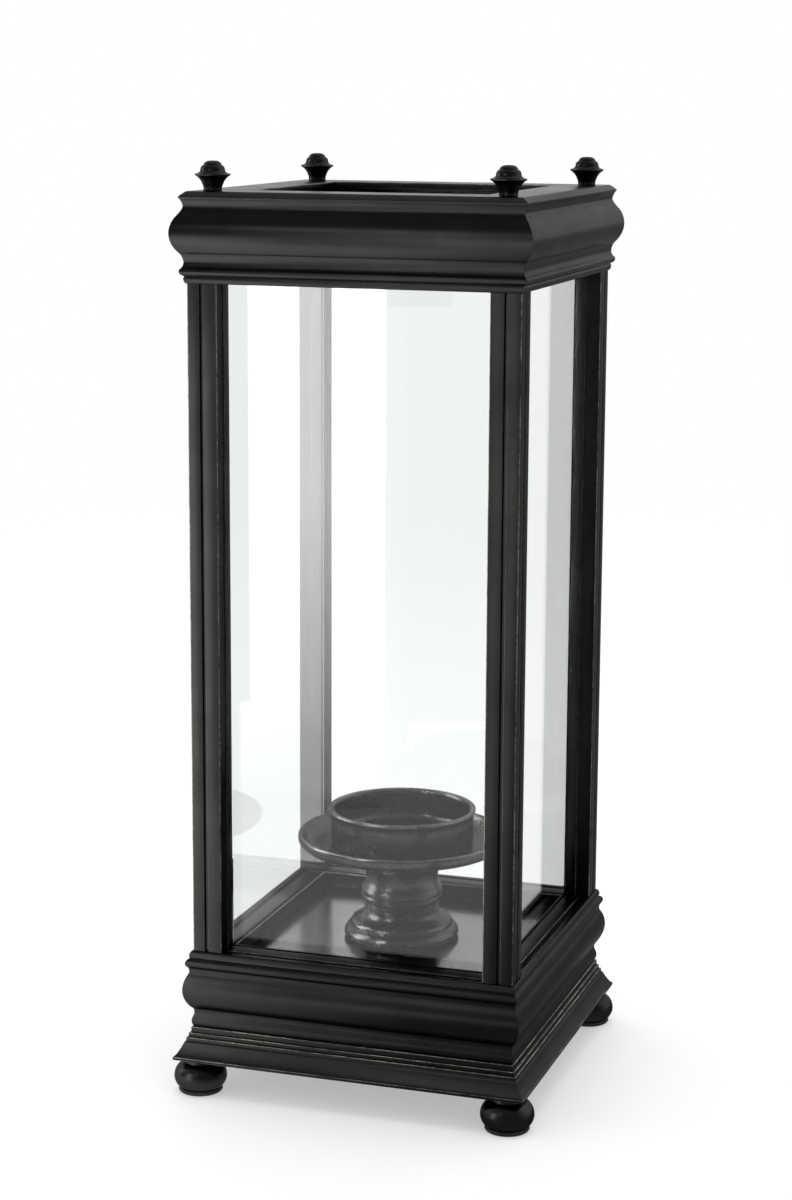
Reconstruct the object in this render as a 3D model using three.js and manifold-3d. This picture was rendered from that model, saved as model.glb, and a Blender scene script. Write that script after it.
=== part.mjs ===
// Square hurricane candle lantern: a moulded base on four bun feet, four corner posts with glass
// between them, an open moulded crown with four finials, and a loose pedestal candle holder inside.
// Millimetres, +Z up, origin on the ground under the centre, front face towards -Y.
import * as THREE from 'three';
import { mergeVertices } from 'three/addons/utils/BufferGeometryUtils.js';
import Module from 'manifold-3d';

const wasm = await Module();
wasm.setup();

// ---- driving dimensions -------------------------------------------------------------------------
// Widths are given from the lantern's axis.
const GAP = 0.3;             // clearance between pieces that touch
const FOOT_H = 21.5;         // ground to the underside of the base
const BASE_H = 67.6;         // moulded base
const BAY_H = 400.4;         // posts: base top to crown underside
const CROWN_H = 52.5;        // moulded crown

const POST_FACE = 100;       // outer faces of the posts
const GLASS_FACE = 84;       // outer face of the panes
const GLASS_T = 3;           // pane thickness
const GLAZING_DEPTH = 4;     // glazing grooves in base and crown

const SKIRT_FACE = 110;      // bottom edge of the base
const BASE_WALL_IN = 95;     // inner face of the base's wall
const BASE_FLANGE_IN = 92;   // inner edge of the base's bottom flange
const BASE_FLANGE_T = 14;
const LEDGE_IN = 79.3;       // inner edge of the ledge that the panes stand on
const LEDGE_T = 9.5;
const FLOOR_T = 2;           // floor plate, close under the ledge

const CROWN_MOUTH = 71;      // half the width of the crown's square mouth
const CROWN_WALL_IN = 96.2;  // inner face of the crown's wall
const CROWN_TOP_T = 4;       // flat top of the crown
const CROWN_FLANGE_IN = 76.5;
const CROWN_FLANGE_T = 8.3;  // bottom flange of the crown

const FOOT_INSET = 97;       // foot centres
const STUD_R = 3;            // foot stud
const STUD_L = 12;
const SCREW_INSET = 88;      // post screws and finials
const SCREW_R = 2;
const SCREW_IN_POST = 12;

// ---- levels and clearances that follow from them ------------------------------------------------
const BASE_TOP = FOOT_H + BASE_H;
const CROWN_LOW = BASE_TOP + BAY_H;
const CROWN_TOP = CROWN_LOW + CROWN_H;
const FLOOR_TOP = BASE_TOP - LEDGE_T - GAP;
const GLASS_BACK = GLASS_FACE - GLASS_T;
const GROOVE_OUT = GLASS_FACE + GAP;
const GROOVE_IN = GLASS_BACK - GAP;
const SCREW_HOLE_R = SCREW_R + GAP;
const STUD_HOLE_R = STUD_R + GAP;
const END_PLAY = 1;          // spare depth past a screw or stud
const SIDES = ['front', 'right', 'back', 'left'];
const CORNERS = ['front_right', 'back_right', 'back_left', 'front_left'];

// ---- finishes -----------------------------------------------------------------------------------
const finish = {
  bronze: { color: 0x24221f, roughness: 0.36, metalness: 0.85 },
  floor: { color: 0x1d1c1a, roughness: 0.18, metalness: 0.85 },
  glass: { color: 0xeef3f1, roughness: 0.03, metalness: 0, transparent: true, opacity: 0.25 },
  steel: { color: 0x8b8c8d, roughness: 0.35, metalness: 1 },
  rubber: { color: 0x101010, roughness: 0.9, metalness: 0 },
  felt: { color: 0x1b1b1b, roughness: 1, metalness: 0 },
};

const lantern = new THREE.Group();
const candleHolder = new THREE.Group();
lantern.add(candleHolder);

function addPiece(name, geometry, look, parent = lantern) {
  const mesh = new THREE.Mesh(geometry, new THREE.MeshStandardMaterial(finish[look]));
  mesh.name = name;
  parent.add(mesh);
  return mesh;
}

// The same piece at all four sides or corners, made for the front or the front right one.
function addFourTimes(baseName, places, geometry, look, z = 0) {
  places.forEach((place, quarter) => {
    const mesh = addPiece(`${baseName}_${place}`, geometry, look);
    mesh.position.z = z;
    mesh.rotation.z = quarter * Math.PI / 2;
  });
}

// ---- cutting ------------------------------------------------------------------------------------
function toSolid(geometry) {
  const bare = geometry.clone();
  bare.deleteAttribute('normal');
  bare.deleteAttribute('uv');
  const merged = mergeVertices(bare, 1e-4);
  return new wasm.Manifold(new wasm.Mesh({
    numProp: 3,
    vertProperties: Float32Array.from(merged.attributes.position.array),
    triVerts: Uint32Array.from(merged.index.array),
  }));
}

function toGeometry(solid) {
  const mesh = solid.getMesh();
  const geometry = new THREE.BufferGeometry();
  geometry.setAttribute('position', new THREE.BufferAttribute(mesh.vertProperties, 3));
  geometry.setIndex(new THREE.BufferAttribute(mesh.triVerts, 1));
  geometry.computeVertexNormals();
  return geometry;
}

function cutFrom(geometry, tools) {
  return toGeometry(tools.reduce((solid, tool) => solid.subtract(toSolid(tool)), toSolid(geometry)));
}

// An upright round hole at a front corner: side is 1 on the right and -1 on the left.
function cornerHole(side, inset, radius, low, high) {
  return new THREE.CylinderGeometry(radius, radius, high - low, 12)
    .rotateX(Math.PI / 2)
    .translate(side * inset, -inset, (low + high) / 2);
}

// ---- shapes -------------------------------------------------------------------------------------
function polygon(points) {
  return new THREE.Shape(points.map(([x, y]) => new THREE.Vector2(x, y)));
}

// A square standing at the front right corner, between these distances from the axis.
function cornerSquare(inner, outer) {
  return polygon([[inner, -outer], [outer, -outer], [outer, -inner], [inner, -inner]]);
}

function prism(outline, height) {
  return new THREE.ExtrudeGeometry(outline, { depth: height, bevelEnabled: false, curveSegments: 6 });
}

// A rail along the front with its ends mitred at 45 degrees. The section's x is the distance from
// the lantern's axis and its y is the height.
function mitredRail(section) {
  const geometry = new THREE.ExtrudeGeometry(section, { depth: 1, bevelEnabled: false, curveSegments: 4 });
  const point = geometry.attributes.position;
  const endGap = GAP * Math.SQRT1_2;
  for (let i = 0; i < point.count; i += 1) {
    const out = point.getX(i);
    const side = 1 - 2 * point.getZ(i);
    point.setXYZ(i, side * (out - endGap), -out, point.getY(i));
  }
  geometry.computeVertexNormals();
  return geometry;
}

// A turned solid about Z, from [radius, height] points that start and end on the axis or close up.
function turned(outline, segments) {
  const profile = outline.map(([r, z]) => new THREE.Vector2(r, z));
  return new THREE.LatheGeometry(profile, segments).rotateX(Math.PI / 2);
}

function atCorner(geometry, inset) {
  return geometry.translate(inset, -inset, 0);
}

function lineThrough(shape, points) {
  points.forEach(([x, y]) => shape.lineTo(x, y));
}

// ---- base ---------------------------------------------------------------------------------------
// From the bottom: skirt, three thin steps, small bead, torus, bead, rounded edge; then the flat top
// with its channel and glazing groove, the ledge, the wall and the bottom flange.
function baseSection() {
  const s = new THREE.Shape();
  s.moveTo(BASE_FLANGE_IN, 0);
  lineThrough(s, [[SKIRT_FACE, 0], [SKIRT_FACE, 1.9], [109, 2.6]]);
  s.quadraticCurveTo(106.5, 6.3, 104.5, 10.6);
  for (const [x, z] of [[103.6, 12.5], [102.4, 15.2], [101.2, 18.8]]) {
    lineThrough(s, [[x, z - 1.1], [x, z + 0.8], [x - 1.3, z + 1.1]]);
  }
  s.quadraticCurveTo(101.9, 23, 99.8, 27.4);
  s.quadraticCurveTo(99.7, 30.6, 101.2, 32);
  s.absarc(87.25, 43.3, 18, -0.674, 0.562, false);
  lineThrough(s, [[102, 54.6], [102.2, 56.4]]);
  s.absarc(100.9, 59.9, 3, -1, 1, false);
  lineThrough(s, [[101.4, 63.1], [101.9, 63.8]]);
  s.quadraticCurveTo(101.9, 66.2, 100.6, BASE_H);
  lineThrough(s, [[97.5, BASE_H], [97.5, BASE_H - 2.4], [93.6, BASE_H - 2.4], [93.6, BASE_H]]);
  const glazingLow = BASE_H - GLAZING_DEPTH;
  lineThrough(s, [[GROOVE_OUT, BASE_H], [GROOVE_OUT, glazingLow], [GROOVE_IN, glazingLow],
    [GROOVE_IN, BASE_H]]);
  const ledgeLow = BASE_H - LEDGE_T;
  lineThrough(s, [[LEDGE_IN, BASE_H], [LEDGE_IN, ledgeLow], [BASE_WALL_IN, ledgeLow],
    [BASE_WALL_IN, BASE_FLANGE_T], [BASE_FLANGE_IN, BASE_FLANGE_T]]);
  return s;
}

function makeBaseRails() {
  const holes = [-1, 1].flatMap((side) => [
    cornerHole(side, FOOT_INSET, STUD_HOLE_R, -1, STUD_L + END_PLAY),
    cornerHole(side, SCREW_INSET, SCREW_HOLE_R, BASE_H / 2, BASE_H + 1),
  ]);
  addFourTimes('base_rail', SIDES, cutFrom(mitredRail(baseSection()), holes), 'bronze', FOOT_H);
}

function makeFloorPlate() {
  const half = BASE_WALL_IN - GAP;
  const outline = polygon([[-half, -half], [half, -half], [half, half], [-half, half]]);
  for (const [x, y] of [[-1, -1], [1, -1], [1, 1], [-1, 1]]) {
    const hole = new THREE.Path();
    hole.absarc(x * SCREW_INSET, y * SCREW_INSET, SCREW_HOLE_R, 0, 2 * Math.PI, false);
    outline.holes.push(hole);
  }
  addPiece('floor_plate', prism(outline, FLOOR_T), 'floor').position.z = FLOOR_TOP - FLOOR_T;
}

function addCornerBlocks(name, inner, outer, low, high) {
  const block = prism(cornerSquare(inner, outer), high - low);
  const hole = cornerHole(1, SCREW_INSET, SCREW_HOLE_R, -1, high - low + 1);
  addFourTimes(name, CORNERS, cutFrom(block, [hole]), 'bronze', low);
}

// The screw comes up through the block, the floor plate and the ledge into the post.
function makeBaseCorners() {
  const blockLow = FOOT_H + BASE_FLANGE_T + GAP;
  addCornerBlocks('base_corner_block', 70, BASE_WALL_IN - GAP, blockLow, FLOOR_TOP - FLOOR_T - GAP);

  const headTop = blockLow - GAP;
  const headLow = headTop - 4;
  const tip = BASE_TOP + GAP + SCREW_IN_POST;
  const screw = turned([[0, headLow], [3.2, headLow], [3.2, headTop], [SCREW_R, headTop],
    [SCREW_R, tip - 1], [SCREW_R - 1, tip], [0, tip]], 12);
  addFourTimes('post_screw', CORNERS, atCorner(screw, SCREW_INSET), 'steel');
}

// ---- feet ---------------------------------------------------------------------------------------
function makeFeet() {
  const glideR = 13.4;
  const glideH = 2.7;
  const glide = turned([[0, 0], [glideR - 0.8, 0], [glideR, 0.8], [glideR, glideH], [0, glideH]], 18);
  addFourTimes('foot_glide', CORNERS, atCorner(glide, FOOT_INSET), 'rubber');

  const low = glideH + GAP;
  const top = FOOT_H - GAP;
  const outline = [[0, low], [13.2, low], [15.2, 5.4], [16.1, 8.2], [15.9, 10.8], [14.6, 13.4],
    [12.4, 15.7], [9.2, 17.4], [9.2, top], [STUD_R, top], [STUD_R, FOOT_H + STUD_L],
    [0, FOOT_H + STUD_L]];
  addFourTimes('foot', CORNERS, atCorner(turned(outline, 18), FOOT_INSET), 'bronze');
}

// ---- posts and glass ----------------------------------------------------------------------------
// Section of the front right post: a grooved outer face each way, a raised glass stop on each inner
// face, and a notch at the inner corner for the two panes.
function postSection() {
  const stop = 80.5;
  const returnFace = 81.5;
  const stopFrom = 91.2;
  const groove = { low: 90.1, high: 92.1, floor: POST_FACE - 1.6 };
  const half = [
    [POST_FACE - 0.8, POST_FACE], [groove.high, POST_FACE], [groove.high, groove.floor],
    [groove.low, groove.floor], [groove.low, POST_FACE], [returnFace, POST_FACE],
    [returnFace, stopFrom], [stop, stopFrom], [stop, GROOVE_OUT],
  ];
  const otherHalf = half.map(([x, y]) => [y, x]).reverse();
  return polygon([...half, [GROOVE_OUT, GROOVE_OUT], ...otherHalf].map(([x, y]) => [x, -y]));
}

const POST_LOW = BASE_TOP + GAP;
const POST_L = BAY_H - 2 * GAP;

function makePosts() {
  const depth = SCREW_IN_POST + END_PLAY;
  const holes = [
    cornerHole(1, SCREW_INSET, SCREW_HOLE_R, -1, depth),
    cornerHole(1, SCREW_INSET, SCREW_HOLE_R, POST_L - depth, POST_L + 1),
  ];
  addFourTimes('post', CORNERS, cutFrom(prism(postSection(), POST_L), holes), 'bronze', POST_LOW);
}

function makeGlass() {
  const low = BASE_TOP - GLAZING_DEPTH + GAP;
  const height = BAY_H + 2 * GLAZING_DEPTH - 2 * GAP;
  const pane = polygon([[GAP - GLASS_FACE, -GLASS_FACE], [GLASS_FACE - GAP, -GLASS_FACE],
    [GLASS_BACK - GAP, -GLASS_BACK], [GAP - GLASS_BACK, -GLASS_BACK]]);
  addFourTimes('glass', SIDES, prism(pane, height), 'glass', low);
}

// ---- crown --------------------------------------------------------------------------------------
// From the bottom: band, bead, cove, torus, cove, sharp lip; then the flat top, the wall and the
// bottom flange with its glazing groove.
function crownSection() {
  const s = new THREE.Shape();
  s.moveTo(POST_FACE, 0);
  s.quadraticCurveTo(101.3, 0.8, 101.3, 3);
  lineThrough(s, [[100.9, 4], [101.9, 4.7]]);
  s.absarc(101, 6.9, 2.35, -1.1, 1, false);
  s.quadraticCurveTo(101.2, 10.4, 101.15, 12.3);
  s.quadraticCurveTo(101.4, 14.9, 103.1, 17.4);
  s.absarc(91.45, 28.7, 16.2, -0.763, 0.665, false);
  s.quadraticCurveTo(102.2, 41.2, 101.5, 43);
  s.lineTo(101.3, 43.9);
  s.quadraticCurveTo(101.5, 46.6, 103.3, 48.9);
  s.lineTo(103.3, 49.3);
  s.quadraticCurveTo(101.9, 50.7, 99.8, CROWN_H);
  const topLow = CROWN_H - CROWN_TOP_T;
  lineThrough(s, [[CROWN_MOUTH, CROWN_H], [CROWN_MOUTH, topLow], [CROWN_WALL_IN, topLow],
    [CROWN_WALL_IN, CROWN_FLANGE_T], [CROWN_FLANGE_IN, CROWN_FLANGE_T], [CROWN_FLANGE_IN, 0],
    [GROOVE_IN, 0], [GROOVE_IN, GLAZING_DEPTH], [GROOVE_OUT, GLAZING_DEPTH], [GROOVE_OUT, 0]]);
  return s;
}

function makeCrown() {
  const holes = [-1, 1].map((side) => cornerHole(side, SCREW_INSET, SCREW_HOLE_R, -1, CROWN_H + 1));
  addFourTimes('crown_rail', SIDES, cutFrom(mitredRail(crownSection()), holes), 'bronze', CROWN_LOW);

  const blockLow = CROWN_LOW + CROWN_FLANGE_T + GAP;
  const blockHigh = CROWN_TOP - CROWN_TOP_T - GAP;
  addCornerBlocks('crown_corner_block', 78, CROWN_WALL_IN - GAP, blockLow, blockHigh);
}

// A button over a wide thin disc on a waisted neck, with its long stud below.
function makeFinials() {
  const studTip = -(CROWN_H + GAP + SCREW_IN_POST);
  const outline = [
    [0, studTip], [SCREW_R - 1, studTip], [SCREW_R, studTip + 1], [SCREW_R, GAP], [5.5, GAP],
    [6.1, 3.4], [7.2, 5.9], [10.3, 9], [10.3, 9.8], [7.3, 11.2], [6.8, 13.2], [5.6, 14.4], [4.2, 16],
    [2.6, 16.9], [0, 17.1],
  ];
  const finial = atCorner(turned(outline, 14), SCREW_INSET);
  addFourTimes('finial', CORNERS, finial, 'bronze', CROWN_TOP);
}

// ---- candle holder ------------------------------------------------------------------------------
// Heights in this section are above the floor plate. The dish, cup and bolt stack on the stem, and
// the bolt's head lies sunk in the cup's floor, so that a candle stands flat.
function makeCandleHolder() {
  const stemLow = 1.5;
  const stemTop = 56.6;
  const boreLow = 31.2;
  const pad = [[0, GAP], [30, GAP], [30, stemLow - GAP], [0, stemLow - GAP]];
  const stem = [
    [0, stemLow], [34.8, stemLow], [35.8, 2.8], [35.1, 4.8], [32, 7.8], [32, 9.8], [29.4, 11.8],
    [25, 15], [22.7, 17.7], [23.6, 18.8], [22.8, 20.2], [24.3, 23.6], [25.4, 26.4], [25, 29.8],
    [23.6, 33.6], [22.7, 38.7], [23.2, 47.2], [25.6, 53.2], [29, stemTop],
    [SCREW_HOLE_R, stemTop], [SCREW_HOLE_R, boreLow], [0, boreLow],
  ];
  const dishLow = stemTop + GAP;
  const dishFloor = 60;
  const dishRim = 66.6;
  const dish = [
    [SCREW_HOLE_R, dishLow], [52, dishLow], [60.6, dishLow + 1.6], [64.3, 61.6], [64.7, 63.8],
    [64.3, dishRim - 0.8], [62.8, dishRim], [61, dishRim - 1], [58.4, 62.6], [52.5, dishFloor],
    [SCREW_HOLE_R, dishFloor], [SCREW_HOLE_R, dishLow],
  ];
  const cupLow = dishFloor + GAP;
  const cupFloor = cupLow + 3.7;
  const cupRim = 82.7;
  const sinkR = 5.6;
  const sinkLow = cupLow + 1.2;
  const cup = [
    [SCREW_HOLE_R, cupLow], [43, cupLow], [44.3, cupLow + 1.2], [44.3, 77.2], [45.8, cupRim - 1.2],
    [45, cupRim], [43.3, cupRim], [42, cupRim - 1.6], [41.9, cupFloor], [sinkR, cupFloor],
    [sinkR, sinkLow], [SCREW_HOLE_R, sinkLow], [SCREW_HOLE_R, cupLow],
  ];
  const headLow = sinkLow + GAP;
  const tip = boreLow + END_PLAY;
  const bolt = [
    [0, tip], [SCREW_R, tip], [SCREW_R, headLow], [5, headLow], [5, headLow + 1.4],
    [4.2, headLow + 2], [0, headLow + 2],
  ];
  candleHolder.position.z = FLOOR_TOP;
  addPiece('holder_pad', turned(pad, 24), 'felt', candleHolder);
  addPiece('holder_stem', turned(stem, 24), 'bronze', candleHolder);
  addPiece('holder_dish', turned(dish, 28), 'bronze', candleHolder);
  addPiece('holder_cup', turned(cup, 28), 'bronze', candleHolder);
  addPiece('holder_bolt', turned(bolt, 12), 'steel', candleHolder);
}

makeBaseRails();
makeFloorPlate();
makeBaseCorners();
makeFeet();
makePosts();
makeGlass();
makeCrown();
makeFinials();
makeCandleHolder();

export default lantern;
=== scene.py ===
"""A square hurricane candle lantern in satin black bronze, with clear glass and a loose candle holder.

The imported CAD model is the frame. Mouldings, turned parts and posts are rebuilt here with fine, softly
rounded surfaces in the places that the CAD gives them; glass, blocks, plate and screws stay CAD nodes.
Outlines are in millimetres, as on a workshop drawing, and meshes are in metres.
"""

import math

import bmesh
import bpy
from mathutils import Matrix, Vector


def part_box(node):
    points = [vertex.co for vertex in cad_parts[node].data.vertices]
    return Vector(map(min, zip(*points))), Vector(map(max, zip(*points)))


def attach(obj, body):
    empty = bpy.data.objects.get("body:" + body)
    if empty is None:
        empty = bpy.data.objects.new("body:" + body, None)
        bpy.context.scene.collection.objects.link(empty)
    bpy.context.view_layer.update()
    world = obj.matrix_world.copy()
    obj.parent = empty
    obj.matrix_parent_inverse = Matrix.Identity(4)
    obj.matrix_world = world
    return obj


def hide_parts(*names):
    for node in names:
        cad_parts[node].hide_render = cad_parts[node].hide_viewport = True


MM = 0.001
SIDES = ("front", "right", "back", "left")
CORNERS = ("front_right", "back_right", "back_left", "front_left")
ROUNDING_STEP = math.radians(24)  # a rounded corner turns this much from point to point
SHARP_FROM = math.radians(38)  # edges that turn more than this are shaded as sharp
CURVE_STEPS = 10
MITRE_GAP = 0.06  # mm, half the hairline between two mitred rails
POST_TUCK = 0.2  # mm, how far a post reaches into the base and the crown
FINIAL_STUD = 64.8  # mm, from the end of a finial's stud up to its neck
WORN_METAL_AND_GLINT = (0.60, 0.56, 0.50)  # where the finish is rubbed through, and painted edge highlights along arrises

FLOOR_RADIUS = 12
FLOOR_DROP = 0.15  # mm, keeps the floor clear of the feet
FLOOR_GLOW = 0.4  # share of even light in the paper under the lantern
FLOOR_IN_PANES = 0.8  # the floor's strength as the panes mirror it
FLOOR_IN_METAL_LEFT = 1.8  # as metal mirrors it: at the front left, the front right and the back
FLOOR_IN_METAL_RIGHT = 0.15
FLOOR_IN_METAL_BACK = 0.45
ROOM_FRONT = 0.17  # the room's strength as metal and glass mirror it
ROOM_BACK = 1.2

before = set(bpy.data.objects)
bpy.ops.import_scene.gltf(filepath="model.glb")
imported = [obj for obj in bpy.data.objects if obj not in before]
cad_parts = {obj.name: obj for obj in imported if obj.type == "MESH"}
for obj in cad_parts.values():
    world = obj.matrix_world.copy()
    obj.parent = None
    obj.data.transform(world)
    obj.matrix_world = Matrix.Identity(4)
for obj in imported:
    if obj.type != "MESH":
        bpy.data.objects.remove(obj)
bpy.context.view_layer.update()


# ---- outlines -----------------------------------------------------------------------------------
class Outline:
    """Points (x, z) in mm. A corner can have a radius, and a share of edge wear and painted edge highlight
    along its rounded edge.
    """

    def __init__(self, x, z, radius=0.0, wear_and_glint=0.0):
        self.points = [(x, z, radius, wear_and_glint)]

    def to(self, x, z, radius=0.0, wear_and_glint=0.0):
        self.points.append((x, z, radius, wear_and_glint))
        return self

    def curve(self, bend_x, bend_z, x, z, steps=CURVE_STEPS, wear_and_glint=0.0):
        """A quadratic curve from the last point, pulled towards the bend."""
        x0, z0 = self.points[-1][:2]
        for i in range(1, steps + 1):
            t = i / steps
            a, b, c = (1 - t) ** 2, 2 * t * (1 - t), t * t
            self.to(a * x0 + b * bend_x + c * x, a * z0 + b * bend_z + c * z, wear_and_glint=wear_and_glint)
        return self

    def arc(self, x, z, radius, start, end, steps=18):
        """An arc round (x, z) from one angle to the other, in degrees."""
        for i in range(steps + 1):
            angle = math.radians(start + (end - start) * i / steps)
            self.to(x + radius * math.cos(angle), z + radius * math.sin(angle))
        return self

    def rounded(self, closed=True):
        """The finished list of (x, z, wear and painted edge highlight)."""
        count = len(self.points)
        made = []
        for i, (x, z, radius, wear_and_glint) in enumerate(self.points):
            at_end = not closed and i in (0, count - 1)
            if radius <= 0 or at_end:
                made.append((x, z, wear_and_glint))
                continue
            before = self.points[i - 1]
            after = self.points[(i + 1) % count]
            made += round_corner((x, z), before[:2], after[:2], radius, wear_and_glint)
        return made


def round_corner(corner, before, after, radius, wear_and_glint):
    p = Vector(corner)
    to_before = Vector(before) - p
    to_after = Vector(after) - p
    room = 0.45 * min(to_before.length, to_after.length)
    u, v = to_before.normalized(), to_after.normalized()
    between = u.angle(v)
    turn = math.pi - between
    if turn < math.radians(4):
        return [(p.x, p.y, 0.0)]
    reach = min(radius / math.tan(between / 2), room)
    radius = reach * math.tan(between / 2)
    centre = p + (u + v).normalized() * (radius / math.sin(between / 2))
    start, end = p + u * reach - centre, p + v * reach - centre
    sweep = math.atan2(start.x * end.y - start.y * end.x, start.dot(end))
    steps = max(2, math.ceil(turn / ROUNDING_STEP))
    made = []
    for i in range(steps + 1):
        t = i / steps
        spoke = Matrix.Rotation(sweep * t, 2) @ start
        made.append((centre.x + spoke.x, centre.y + spoke.y, wear_and_glint * math.sin(math.pi * t)))
    return made


# ---- meshes -------------------------------------------------------------------------------------
def make_object(name, bm, material, body, replaced):
    bmesh.ops.recalc_face_normals(bm, faces=bm.faces)
    mesh = bpy.data.meshes.new(name)
    bm.to_mesh(mesh)
    bm.free()
    mesh.shade_smooth()
    mesh.set_sharp_from_angle(angle=SHARP_FROM)
    mesh.materials.append(material)
    piece = bpy.data.objects.new(name, mesh)
    bpy.context.scene.collection.objects.link(piece)
    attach(piece, body)
    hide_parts(replaced)


def swept(bm, rings):
    """Joins rings of vertices, each the same closed outline, into a skin with both ends closed."""
    for a, b in zip(rings, rings[1:]):
        for i in range(len(a)):
            j = (i + 1) % len(a)
            bm.faces.new((a[i], a[j], b[j], b[i]))
    bm.faces.new(rings[0][::-1])
    bm.faces.new(rings[-1])


def quarter_turn(quarter):
    return Matrix.Rotation(quarter * math.pi / 2, 3, "Z")


def mitred_rail(section, base_z, quarter):
    """The section's x is the distance out from the axis; both ends are cut at 45 degrees."""
    bm = bmesh.new()
    wear_and_glint = bm.verts.layers.float.new("wear_and_glint")
    turn = quarter_turn(quarter)
    rings = []
    for side in (-1, 1):
        ring = []
        for out, z, worn_and_glint in section:
            vert = bm.verts.new(turn @ Vector((side * (out - MITRE_GAP), -out, base_z + z)) * MM)
            vert[wear_and_glint] = worn_and_glint
            ring.append(vert)
        rings.append(ring)
    swept(bm, rings)
    return bm


def upright(section, low, high, quarter):
    """The section lies in plan, for the front right corner."""
    bm = bmesh.new()
    wear_and_glint = bm.verts.layers.float.new("wear_and_glint")
    turn = quarter_turn(quarter)
    rings = []
    for z in (low, high):
        ring = []
        for x, y, worn_and_glint in section:
            vert = bm.verts.new(turn @ Vector((x, -y, z)) * MM)
            vert[wear_and_glint] = worn_and_glint
            ring.append(vert)
        rings.append(ring)
    swept(bm, rings)
    return bm


def turned(profile, centre, base_z, segments):
    """Spins (radius, height, wear and painted edge highlight) points that start and end on the axis, or close
    on themselves.
    """
    bm = bmesh.new()
    wear_and_glint = bm.verts.layers.float.new("wear_and_glint")
    closed = profile[0][0] > 0
    rings = []
    for radius, z, worn_and_glint in profile:
        count = 1 if radius <= 0 else segments
        ring = []
        for i in range(count):
            angle = 2 * math.pi * i / segments
            place = (centre[0] + radius * math.cos(angle), centre[1] + radius * math.sin(angle), base_z + z)
            vert = bm.verts.new(Vector(place) * MM)
            vert[wear_and_glint] = worn_and_glint
            ring.append(vert)
        rings.append(ring)
    pairs = list(zip(rings, rings[1:]))
    if closed:
        pairs.append((rings[-1], rings[0]))
    for a, b in pairs:
        for i in range(segments):
            j = (i + 1) % segments
            corners = [a[i % len(a)], a[j % len(a)], b[j % len(b)], b[i % len(b)]]
            bm.faces.new(list(dict.fromkeys(corners)))
    return bm


# ---- materials ----------------------------------------------------------------------------------
class Nodes:
    """A material's node tree, with its Principled shader ready."""

    def __init__(self, name, color, roughness, metallic=0.0):
        self.material = bpy.data.materials.new(name)
        self.material.use_nodes = True
        self.tree = self.material.node_tree
        self.shader = self.tree.nodes["Principled BSDF"]
        self.shader.inputs["Base Color"].default_value = (*color, 1)
        self.shader.inputs["Roughness"].default_value = roughness
        self.shader.inputs["Metallic"].default_value = metallic
        self.place = self.add("ShaderNodeTexCoord").outputs["Object"]

    def add(self, kind, **settings):
        node = self.tree.nodes.new(kind)
        for key, value in settings.items():
            setattr(node, key, value)
        return node

    def link(self, out, into):
        self.tree.links.new(out, into)

    def fill(self, socket, value):
        """Sets a plain number or colour on the socket, or links an output to it."""
        if isinstance(value, (int, float)):
            socket.default_value = value
        elif isinstance(value, tuple):
            socket.default_value = (*value, 1)
        else:
            self.link(value, socket)

    def noise(self, scale, detail=3.0, rough=0.55):
        node = self.add("ShaderNodeTexNoise")
        node.inputs["Scale"].default_value = scale
        node.inputs["Detail"].default_value = detail
        node.inputs["Roughness"].default_value = rough
        self.link(self.place, node.inputs["Vector"])
        return node.outputs["Fac"]

    def remap(self, value, low, high, to_low, to_high):
        node = self.add("ShaderNodeMapRange")
        self.link(value, node.inputs["Value"])
        for name, number in zip(("From Min", "From Max", "To Min", "To Max"), (low, high, to_low, to_high)):
            node.inputs[name].default_value = number
        return node.outputs["Result"]

    def math(self, operation, a, b):
        node = self.add("ShaderNodeMath", operation=operation)
        self.fill(node.inputs[0], a)
        self.fill(node.inputs[1], b)
        return node.outputs["Value"]

    def mix_number(self, share, a, b):
        node = self.add("ShaderNodeMix", data_type="FLOAT")
        self.link(share, node.inputs["Factor"])
        self.fill(node.inputs["A"], a)
        self.fill(node.inputs["B"], b)
        return node.outputs["Result"]

    def mix_color(self, share, a, b):
        node = self.add("ShaderNodeMix", data_type="RGBA")
        self.link(share, node.inputs["Factor"])
        for name, value in (("A", a), ("B", b)):
            self.fill(next(s for s in node.inputs if s.name == name and s.type == "RGBA"), value)
        return next(s for s in node.outputs if s.type == "RGBA")

    def mix_shader(self, share, a, b):
        node = self.add("ShaderNodeMixShader")
        self.link(share, node.inputs["Fac"])
        self.link(a, node.inputs[1])
        self.link(b, node.inputs[2])
        return node.outputs["Shader"]

    def show(self, shader):
        """Makes this shader the material's surface."""
        self.link(shader, self.tree.nodes["Material Output"].inputs["Surface"])

    def bump(self, *layers):
        """Each layer is (height, distance in metres); they stack."""
        normal = None
        for height, distance in layers:
            node = self.add("ShaderNodeBump")
            node.inputs["Strength"].default_value = 1.0
            node.inputs["Distance"].default_value = distance
            self.link(height, node.inputs["Height"])
            if normal:
                self.link(normal, node.inputs["Normal"])
            normal = node.outputs["Normal"]
        self.link(normal, self.shader.inputs["Normal"])


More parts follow.
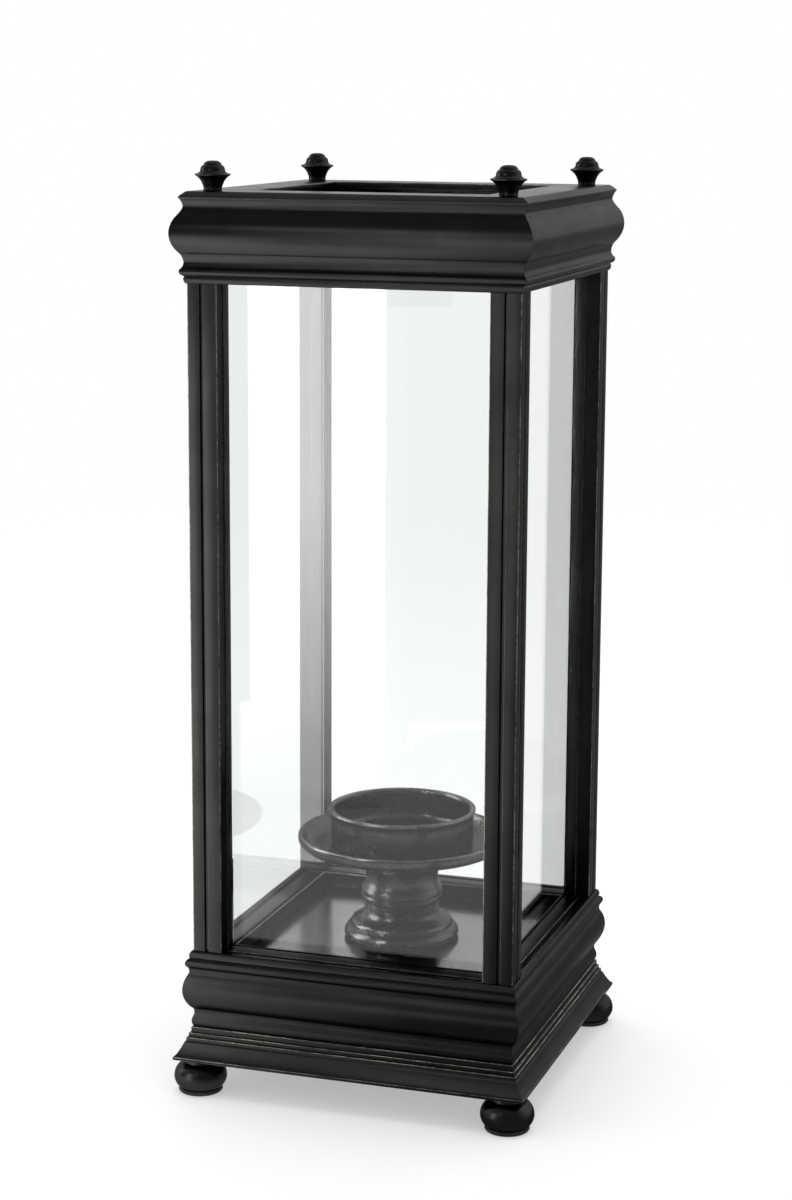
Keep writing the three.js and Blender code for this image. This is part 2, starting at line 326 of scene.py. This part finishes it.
def satin_bronze(name, dark, light, roughness, waviness=1.0):
    """A nearly black bronze finish: cloudy, faintly wavy, and lighter along edges, partly rubbed back to bare
    metal and partly a painted edge highlight.
    """
    m = Nodes(name, dark, roughness, metallic=1.0)
    m.shader.inputs["Specular Tint"].default_value = (0.5, 0.5, 0.5, 1)
    clouds = m.remap(m.noise(22, detail=5), 0.3, 0.75, 0, 1)
    body = m.mix_color(clouds, dark, light)

    # The lighter metal along edges is partly rubbed-through wear and partly a painted highlight on the
    # arrises, broken up by patches and flecks.
    edge = m.add("ShaderNodeAttribute", attribute_name="wear_and_glint").outputs["Fac"]
    patches = m.remap(m.noise(55, detail=4, rough=0.7), 0.38, 0.56, 0.25, 1)
    flecks = m.remap(m.noise(420, detail=2), 0.36, 0.56, 0.4, 1)
    rubbed_and_glint = m.math("MULTIPLY", edge, m.math("MULTIPLY", patches, flecks))
    m.link(m.mix_color(rubbed_and_glint, body, WORN_METAL_AND_GLINT), m.shader.inputs["Base Color"])

    grain = m.noise(1500, detail=2)
    smears = m.noise(60, detail=3)
    satin = m.math("ADD", m.remap(smears, 0.3, 0.7, roughness - 0.02, roughness + 0.03),
                   m.remap(grain, 0.3, 0.7, -0.02, 0.02))
    m.link(m.math("ADD", satin, m.math("MULTIPLY", rubbed_and_glint, 0.2)), m.shader.inputs["Roughness"])
    m.bump((m.noise(16, detail=0.5), 0.0006 * waviness), (grain, 0.000008 * waviness))
    return m.material


def clear_glass():
    """Real glass for what is seen and mirrored; lamps and soft light pass straight through it."""
    m = Nodes("clear_glass", (0.975, 0.99, 0.985), 0.0)
    m.shader.inputs["Transmission Weight"].default_value = 1.0
    m.shader.inputs["IOR"].default_value = 1.5
    path = m.add("ShaderNodeLightPath")
    lets_light_through = m.math("MAXIMUM", path.outputs["Is Shadow Ray"], path.outputs["Is Diffuse Ray"])
    clear = m.add("ShaderNodeBsdfTransparent")
    clear.inputs["Color"].default_value = (0.92, 0.93, 0.925, 1)
    m.show(m.mix_shader(lets_light_through, m.shader.outputs["BSDF"], clear.outputs["BSDF"]))
    return m.material


def soft_rubber():
    m = Nodes("foot_rubber", (0.010, 0.010, 0.010), 0.78)
    dust = m.remap(m.noise(90, detail=4), 0.45, 0.75, 0, 1)
    m.link(m.mix_color(dust, (0.008, 0.008, 0.008), (0.022, 0.021, 0.020)), m.shader.inputs["Base Color"])
    m.bump((m.noise(1400, detail=2), 0.00006))
    return m.material


def black_felt():
    m = Nodes("black_felt", (0.012, 0.012, 0.013), 0.95)
    m.shader.inputs["Sheen Weight"].default_value = 0.25
    fibres = m.noise(1800, detail=4, rough=0.75)
    m.link(m.mix_color(fibres, (0.006, 0.006, 0.006), (0.03, 0.03, 0.031)), m.shader.inputs["Base Color"])
    m.bump((fibres, 0.00015))
    return m.material


def zinc_steel():
    m = Nodes("zinc_steel", (0.55, 0.56, 0.57), 0.34, metallic=1.0)
    bloom = m.remap(m.noise(160, detail=4), 0.35, 0.7, 0, 1)
    m.link(m.mix_color(bloom, (0.50, 0.51, 0.53), (0.36, 0.35, 0.33)), m.shader.inputs["Base Color"])
    m.link(m.remap(bloom, 0, 1, 0.28, 0.5), m.shader.inputs["Roughness"])
    m.bump((m.noise(900, detail=2), 0.00002))
    return m.material


bronze = satin_bronze("satin_bronze", (0.032, 0.0315, 0.031), (0.046, 0.045, 0.0435), 0.30)
plate_bronze = satin_bronze("plate_bronze", (0.33, 0.324, 0.314), (0.37, 0.364, 0.352), 0.18, waviness=0.3)
holder_bronze = satin_bronze("holder_bronze", (0.078, 0.0765, 0.0735), (0.090, 0.088, 0.0845), 0.27,
                             waviness=0.3)
glass = clear_glass()
rubber = soft_rubber()
felt = black_felt()
steel = zinc_steel()


# ---- base and crown -----------------------------------------------------------------------------
def base_section():
    """Skirt, three thin steps, small bead, torus, bead and rounded edge, then the ledge and its grooves."""
    o = Outline(92, 0, 0.4)
    o.to(110, 0, 0.5, 0.5).to(110, 1.9, 0.4, 0.9).to(108.8, 2.7, 0.2)
    o.curve(106.3, 6.2, 104.5, 10.4)
    for x, z in ((103.6, 12.5), (102.4, 15.2), (101.2, 18.7)):
        o.to(x, z - 1.25, 0.15).to(x, z + 0.7, 0.5, 1.0).to(x - 1.3, z + 1.15, 0.12)
    o.curve(100.9, 20.8, 101.0, 22.8).curve(101.1, 24.6, 99.8, 27.4)
    o.curve(99.4, 30.6, 101.0, 31.8)
    o.arc(87.25, 43.3, 18, -38.6, 32.2, steps=30)
    o.to(101.9, 54.3, 0.3).to(102.1, 56.4, 0.3)
    o.arc(100.9, 59.9, 3, -57, 57, steps=14)
    o.to(101.4, 63.1, 0.15).to(101.95, 63.7, 0.3, 0.9)
    o.curve(102.1, 66.4, 100.5, 67.5, steps=6)
    o.to(97.5, 67.6, 0.4, 0.4).to(97.5, 65.2, 0.2).to(93.6, 65.2, 0.2).to(93.6, 67.6, 0.4, 0.6)
    o.to(84.3, 67.6, 0.3).to(84.3, 63.6).to(80.7, 63.6).to(80.7, 67.6, 0.25)
    o.to(79.3, 67.6, 0.5, 0.8).to(79.3, 58.1, 0.5, 0.3)
    o.to(95, 58.1, 0.6).to(95, 14, 0.6).to(92, 14, 0.5)
    return o.rounded()


def crown_section():
    """Band, bead, cove, torus, cove, sharp lip and flat rim; open to the inside like a channel."""
    o = Outline(100.2, 0, 0.5, 0.3).curve(101.4, 0.8, 101.4, 3.2, steps=6)
    o.to(100.9, 4.1, 0.15).to(101.9, 4.6, 0.15)
    o.arc(101, 6.9, 2.35, -63, 57, steps=14)
    o.curve(101.3, 10.2, 101.15, 12.2, steps=6).curve(101.5, 15.4, 103.15, 17.5, steps=8)
    o.arc(91.45, 28.7, 16.2, -43.7, 38.1, steps=30)
    o.curve(102.3, 41.1, 101.5, 43.0, steps=8).to(101.3, 43.9, 0.2)
    o.curve(101.5, 46.6, 103.3, 48.8, steps=8).to(103.35, 49.5, 0.3, 0.1)
    o.curve(102.0, 50.8, 99.9, 52.4, steps=6).to(99.2, 52.5, 0.5, 0.2)
    o.to(71, 52.5, 0.6, 0.5).to(71, 48.5, 0.6).to(96.2, 48.5, 0.8).to(96.2, 8.3, 0.8)
    o.to(76.5, 8.3, 0.5).to(76.5, 0, 0.5, 0.2)
    o.to(80.7, 0, 0.2).to(80.7, 4).to(84.3, 4).to(84.3, 0, 0.2)
    return o.rounded()


def make_rails(name, section):
    for quarter, side in enumerate(SIDES):
        node = f"{name}_{side}"
        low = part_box(node)[0].z / MM
        bm = mitred_rail(section, low, quarter)
        make_object(f"{node}_moulding", bm, bronze, "lantern", node)


# ---- posts --------------------------------------------------------------------------------------
def post_section():
    """Plan of a corner post: a fine groove in each outer face and a stepped glazing rebate inside."""
    half = [(99.95, 99.95, 0.9, 0.8), (92.3, 100, 0.3, 0.3), (91.9, 98.4, 0.2, 0), (90.3, 98.4, 0.2, 0),
            (89.9, 100, 0.3, 0.3), (81.5, 100, 0.6, 0.9), (81.5, 91.4, 0.25, 0), (80.5, 91.0, 0.4, 0.5),
            (80.5, 84.3, 0.3, 0.2)]
    o = Outline(*half[0])
    for point in half[1:]:
        o.to(*point)
    o.to(84.3, 84.3)
    for x, y, radius, wear_and_glint in half[:0:-1]:
        o.to(y, x, radius, wear_and_glint)
    return o.rounded()


def make_posts():
    section = post_section()
    for quarter, corner in enumerate(CORNERS):
        node = f"post_{corner}"
        low, high = (v.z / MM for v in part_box(node))
        bm = upright(section, low - POST_TUCK, high + POST_TUCK, quarter)
        make_object(f"{node}_profile", bm, bronze, "lantern", node)


# ---- turned parts -------------------------------------------------------------------------------
def foot_profile():
    o = Outline(0, 0)
    o.to(13.0, 0, 0.5, 0.3).curve(15.9, 2.6, 16.1, 6.2, steps=10).curve(16.1, 10.4, 13.6, 13.0, steps=10)
    o.curve(11.4, 14.9, 9.4, 15.4, steps=6)
    o.to(8.9, 18.2, 0.6).to(3, 18.2).to(3, 30.2, 0.6).to(0, 30.2)
    return o.rounded(closed=False)


def glide_profile():
    o = Outline(0, 0).to(12.6, 0, 0.5).to(13.4, 0.9, 0.5).to(13.3, 2.7, 0.3).to(0, 2.7)
    return o.rounded(closed=False)


def finial_profile():
    """From the stud up: neck, flaring cup, thin disc, and a dome with a button on it."""
    o = Outline(0, -65).to(1.0, -65).to(2.0, -64).to(2.0, 0.1).to(5.4, 0.1, 0.3, 0.2)
    o.curve(5.1, 2.2, 6.1, 4.0, steps=6).curve(6.9, 6.4, 9.1, 8.1, steps=6)
    o.to(10.3, 8.9, 0.25, 0.2).to(10.3, 9.6, 0.25, 0.2)
    o.curve(8.0, 9.9, 7.2, 11.3, steps=5).curve(7.1, 13.2, 6.3, 13.9, steps=6)
    o.to(6.1, 14.2, 0.2).to(5.3, 14.5, 0.2)
    o.curve(4.9, 16.3, 2.7, 16.9, steps=6).curve(1.3, 17.1, 0, 17.1, steps=3)
    return o.rounded(closed=False)


def make_corner_turnings(name, suffix, profile, material, segments, stud=0.0):
    """The profile's zero is at its node's lowest point, or a stud's length above it."""
    for corner in CORNERS:
        node = f"{name}_{corner}"
        low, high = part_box(node)
        centre = (low + high) / 2 / MM
        bm = turned(profile, centre, low.z / MM + stud, segments)
        make_object(f"{node}_{suffix}", bm, material, "lantern", node)


def stem_profile():
    """From the foot up: low bulb, shoulder bead, waist with three fine rings, double bead, long neck."""
    o = Outline(0, 0).to(34.7, 0, 0.5, 0.3).curve(35.9, 0.5, 35.8, 1.6, steps=4)
    o.curve(35.5, 4.3, 32.5, 6.2, steps=10)
    o.to(31.7, 6.8, 0.2).to(31.9, 7.6, 0.3, 0.4)
    o.curve(31.6, 10.1, 28.0, 11.2, steps=8).curve(24.6, 12.4, 23.4, 14.8, steps=8)
    for z in (16.2, 18.4, 20.6):
        o.to(22.7, z - 0.7, 0.25).curve(24.0, z, 22.7, z + 0.7, steps=6)
    o.curve(23.4, 22.2, 24.6, 23.1, steps=4).curve(25.6, 23.8, 25.5, 25.2, steps=6)
    o.curve(25.4, 26.4, 24.9, 26.7, steps=4).curve(25.5, 27.4, 25.3, 28.8, steps=6)
    o.curve(24.9, 31.2, 23.6, 32.6, steps=6).curve(22.4, 34.6, 22.6, 39.2, steps=8)
    o.curve(22.9, 47.7, 29.0, 55.1, steps=10)
    o.to(2.3, 55.1).to(2.3, 29.7).to(0, 29.7)
    return o.rounded(closed=False)


def dish_profile():
    o = Outline(2.3, 0).to(48, 0).curve(56.5, 0.1, 60.6, 1.7, steps=8).curve(63.9, 3.0, 64.4, 5.0, steps=6)
    o.curve(64.9, 6.6, 64.5, 8.6, steps=5).curve(64.1, 9.9, 62.9, 9.7, steps=5, wear_and_glint=0.2)
    o.curve(61.6, 9.5, 61.0, 8.2, steps=5).curve(59.2, 4.4, 54, 3.5, steps=10)
    o.to(50, 3.3).to(2.3, 3.3)
    return o.rounded(closed=True)


def cup_profile():
    o = Outline(2.3, 0).to(43.2, 0, 0.8, 0.2).to(44.3, 1.5, 0.8, 0.2).curve(44.2, 10, 44.5, 17, steps=6)
    o.curve(44.8, 19.4, 45.6, 20.5, steps=5).curve(46.1, 21.9, 45.0, 22.4, steps=5, wear_and_glint=0.22)
    o.curve(43.6, 22.7, 42.7, 21.9, steps=5, wear_and_glint=0.22).curve(41.9, 21.2, 41.9, 19.4, steps=5)
    o.to(41.8, 5.7, 1.8).to(39.8, 3.7, 1.8).to(5.6, 3.7, 0.3).to(5.6, 1.2).to(2.3, 1.2)
    return o.rounded(closed=True)


def bolt_profile():
    o = Outline(0, 0).to(1.4, 0).to(2.0, 0.7).to(2.0, 29.6).to(5, 29.6, 0.2).to(5, 30.6, 0.4)
    o.curve(4.4, 31.5, 1.2, 31.6, steps=8).to(0, 31.6)
    return o.rounded(closed=False)


def pad_profile():
    return Outline(0, 0).to(29.6, 0, 0.3).to(30, 0.3, 0.2).to(29.9, 0.9, 0.2).to(0, 0.9).rounded(closed=False)


def make_holder():
    parts = (
        ("holder_pad", pad_profile(), felt, "felt", 64),
        ("holder_stem", stem_profile(), holder_bronze, "holder_metal", 112),
        ("holder_dish", dish_profile(), holder_bronze, "holder_metal", 144),
        ("holder_cup", cup_profile(), holder_bronze, "holder_metal", 128),
        ("holder_bolt", bolt_profile(), steel, "fastener_steel", 32),
    )
    for node, profile, material, slot, segments in parts:
        bm = turned(profile, (0, 0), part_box(node)[0].z / MM, segments)
        make_object(f"{node}_turned", bm, material, "candle_holder", node)


# ---- CAD nodes that stay ------------------------------------------------------------------------
def dress(prefix, material, rounding):
    """Gives CAD nodes their finish, and rounds their edges a little with modifiers."""
    for name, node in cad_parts.items():
        if not name.startswith(prefix):
            continue
        node.data.materials.clear()
        node.data.materials.append(material)
        weld = node.modifiers.new("weld", "WELD")
        weld.merge_threshold = 1e-6
        if rounding:
            bevel = node.modifiers.new("rounding", "BEVEL")
            bevel.width = rounding * MM
            bevel.segments = 2
            bevel.limit_method = "ANGLE"
            bevel.angle_limit = math.radians(50)


def dress_cad_nodes():
    dress("glass_", glass, 0.25)
    dress("base_corner_block_", bronze, 0.4)
    dress("crown_corner_block_", bronze, 0.4)
    dress("floor_plate", plate_bronze, 0.3)
    dress("post_screw_", steel, 0.2)


# ---- studio -------------------------------------------------------------------------------------
def stage_object(name, bm, material):
    mesh = bpy.data.meshes.new(name)
    bm.to_mesh(mesh)
    bm.free()
    mesh.materials.append(material)
    piece = bpy.data.objects.new(name, mesh)
    bpy.context.scene.collection.objects.link(piece)
    return piece


def mirrored(tree):
    """1 for rays that have bounced off metal or glass on their way, 0 for plain sight."""
    path = tree.nodes.new("ShaderNodeLightPath")
    test = tree.nodes.new("ShaderNodeMath")
    test.operation = "GREATER_THAN"
    tree.links.new(path.outputs["Glossy Depth"], test.inputs[0])
    test.inputs[1].default_value = 0.5
    return test.outputs["Value"]


def floor_material():
    """White paper with a soft glow, even far away, so that no horizon shows.

    Mirrored, it has other strengths: one in the panes, and in metal one that changes across the floor,
    brightest at the front left.
    """
    m = Nodes("pale_floor", (0.90, 0.90, 0.895), 0.6)
    m.shader.inputs["Specular IOR Level"].default_value = 0.2
    distance = m.add("ShaderNodeVectorMath", operation="LENGTH")
    m.link(m.place, distance.inputs[0])
    glow = m.add("ShaderNodeEmission")
    share = m.remap(distance.outputs["Value"], 0.5, 2.2, FLOOR_GLOW, 1)
    paper = m.mix_shader(share, m.shader.outputs["BSDF"], glow.outputs["Emission"])

    split = m.add("ShaderNodeSeparateXYZ")
    m.link(m.place, split.inputs["Vector"])
    front = m.remap(split.outputs["X"], -0.2, 0, FLOOR_IN_METAL_LEFT, FLOOR_IN_METAL_RIGHT)
    in_metal = m.mix_number(m.remap(split.outputs["Y"], -0.2, 0.3, 0, 1), front, FLOOR_IN_METAL_BACK)
    path = m.add("ShaderNodeLightPath")
    image = m.add("ShaderNodeEmission")
    m.link(m.mix_number(path.outputs["Is Singular Ray"], in_metal, FLOOR_IN_PANES), image.inputs["Strength"])
    m.show(m.mix_shader(mirrored(m.tree), paper, image.outputs["Emission"]))
    return m.material


def make_floor():
    bm = bmesh.new()
    bmesh.ops.create_circle(bm, cap_ends=True, segments=96, radius=FLOOR_RADIUS)
    floor = stage_object("floor", bm, floor_material())
    floor.location.z = -FLOOR_DROP * MM


def make_world():
    """Plain white to the eye. Mirrored, the room is bright behind the lantern and dim in front of it."""
    world = bpy.data.worlds.new("studio")
    bpy.context.scene.world = world
    world.cycles.sampling_method = "NONE"
    world.use_nodes = True
    tree = world.node_tree
    background = tree.nodes["Background"]
    background.inputs["Color"].default_value = (1, 1, 1, 1)
    direction = tree.nodes.new("ShaderNodeTexCoord").outputs["Generated"]
    split = tree.nodes.new("ShaderNodeSeparateXYZ")
    tree.links.new(direction, split.inputs["Vector"])
    depth = tree.nodes.new("ShaderNodeMapRange")
    depth.interpolation_type = "SMOOTHSTEP"
    depth.inputs["From Min"].default_value = -0.35
    depth.inputs["From Max"].default_value = 0.55
    depth.inputs["To Min"].default_value = ROOM_FRONT
    depth.inputs["To Max"].default_value = ROOM_BACK
    tree.links.new(split.outputs["Y"], depth.inputs["Value"])
    strength = tree.nodes.new("ShaderNodeMix")
    tree.links.new(mirrored(tree), strength.inputs["Factor"])
    strength.inputs["A"].default_value = 1.0
    tree.links.new(depth.outputs["Result"], strength.inputs["B"])
    tree.links.new(strength.outputs["Result"], background.inputs["Strength"])


def card_material(name, in_panes=0, in_metal=0, inside=0, fade=(0, 1)):
    """A light card that is only ever seen mirrored.

    It has one strength as the panes mirror it, which fades towards its lower edge, one in the metal
    outside, and one in the metal that is seen through the panes.
    """
    m = Nodes(name, (1, 1, 1), 1)
    m.material.cycles.emission_sampling = "NONE"
    path = m.add("ShaderNodeLightPath")
    behind_glass = m.math("GREATER_THAN", path.outputs["Transmission Depth"], 2.5)
    split = m.add("ShaderNodeSeparateXYZ")
    m.link(m.place, split.inputs["Vector"])
    faded = m.remap(split.outputs["Y"], *fade, 0.12 * in_panes, in_panes)
    outside = m.mix_number(path.outputs["Is Singular Ray"], in_metal, faded)
    glow = m.add("ShaderNodeEmission")
    m.link(m.mix_number(behind_glass, outside, inside), glow.inputs["Strength"])
    clear = m.add("ShaderNodeBsdfTransparent")
    m.show(m.mix_shader(mirrored(m.tree), clear.outputs["BSDF"], glow.outputs["Emission"]))
    return m.material


def make_card(name, azimuth, distance, width, low, high, material):
    """An upright card facing the axis, turned this many degrees from the front towards the left."""
    angle = math.radians(azimuth)
    centre = Vector((-math.sin(angle) * distance, -math.cos(angle) * distance, (low + high) / 2))
    bm = bmesh.new()
    bmesh.ops.create_grid(bm, x_segments=1, y_segments=1, size=0.5)
    card = stage_object(name, bm, material)
    card.scale = (width, high - low, 1)
    card.location = centre
    card.rotation_euler = (math.pi / 2, 0, -angle)
    card.visible_camera = False
    card.visible_diffuse = False
    card.visible_shadow = False


def make_cards():
    pane_glow = card_material("pane_glow", in_panes=5.0, fade=(-0.5, -0.14))
    high_glow = card_material("high_glow", in_metal=3.8, inside=0.3)
    low_glow = card_material("low_glow", in_metal=3.2, inside=0.3)
    strip_glow = card_material("strip_glow", inside=13)
    left_glow = card_material("left_glow", in_metal=2.5, inside=8)
    make_card("pane_card", 27, 0.72, 0.30, 0, 0.75, pane_glow)
    make_card("high_card", 24, 0.76, 0.34, 0.42, 0.85, high_glow)
    make_card("low_card", 35, 0.68, 0.22, 0, 0.42, low_glow)
    make_card("strip", 31, 0.70, 0.17, 0.10, 1.0, strip_glow)
    make_card("left_card", 84, 0.8, 0.34, 0.1, 1.0, left_glow)


def make_light():
    """One wide soft lamp overhead, which neither the eye nor anything glossy sees."""
    light = bpy.data.lights.new("overhead", "AREA")
    light.shape = "RECTANGLE"
    light.size = 2.4
    light.size_y = 2.4
    light.energy = 30
    lamp = bpy.data.objects.new("overhead", light)
    lamp.location = (-0.3, 0.2, 2.4)
    lamp.rotation_euler = (-lamp.location).to_track_quat("-Z", "Y").to_euler()
    lamp.visible_camera = False
    lamp.visible_glossy = False
    lamp.visible_transmission = False
    bpy.context.scene.collection.objects.link(lamp)


# ---- camera -------------------------------------------------------------------------------------
def make_camera():
    """Turned 18 degrees to the right of the front and looking 11 degrees down."""
    yaw, pitch, roll = (math.radians(a) for a in (18.14, 11.1, 0.29))
    ahead = Vector((-math.sin(yaw) * math.cos(pitch), math.cos(yaw) * math.cos(pitch), -math.sin(pitch)))
    right = Vector((math.cos(yaw), math.sin(yaw), 0))
    up = right.cross(ahead)
    rolled_right = right * math.cos(roll) + up * math.sin(roll)
    rolled_up = up * math.cos(roll) - right * math.sin(roll)
    data = bpy.data.cameras.new("camera")
    data.sensor_width = 36
    data.lens = 79.59
    camera = bpy.data.objects.new("camera", data)
    turn = Matrix((rolled_right, rolled_up, -ahead)).transposed().to_4x4()
    camera.matrix_world = Matrix.Translation((0.4914, -1.5155, 0.6050)) @ turn
    bpy.context.scene.collection.objects.link(camera)
    bpy.context.scene.camera = camera


make_rails("base_rail", base_section())
make_rails("crown_rail", crown_section())
make_posts()
make_corner_turnings("foot_glide", "pad", glide_profile(), rubber, 64)
make_corner_turnings("foot", "bun", foot_profile(), bronze, 80)
make_corner_turnings("finial", "turning", finial_profile(), bronze, 64, FINIAL_STUD)
make_holder()
dress_cad_nodes()
make_floor()
make_world()
make_cards()
make_light()
make_camera()
bpy.context.scene.view_settings.view_transform = "Standard"
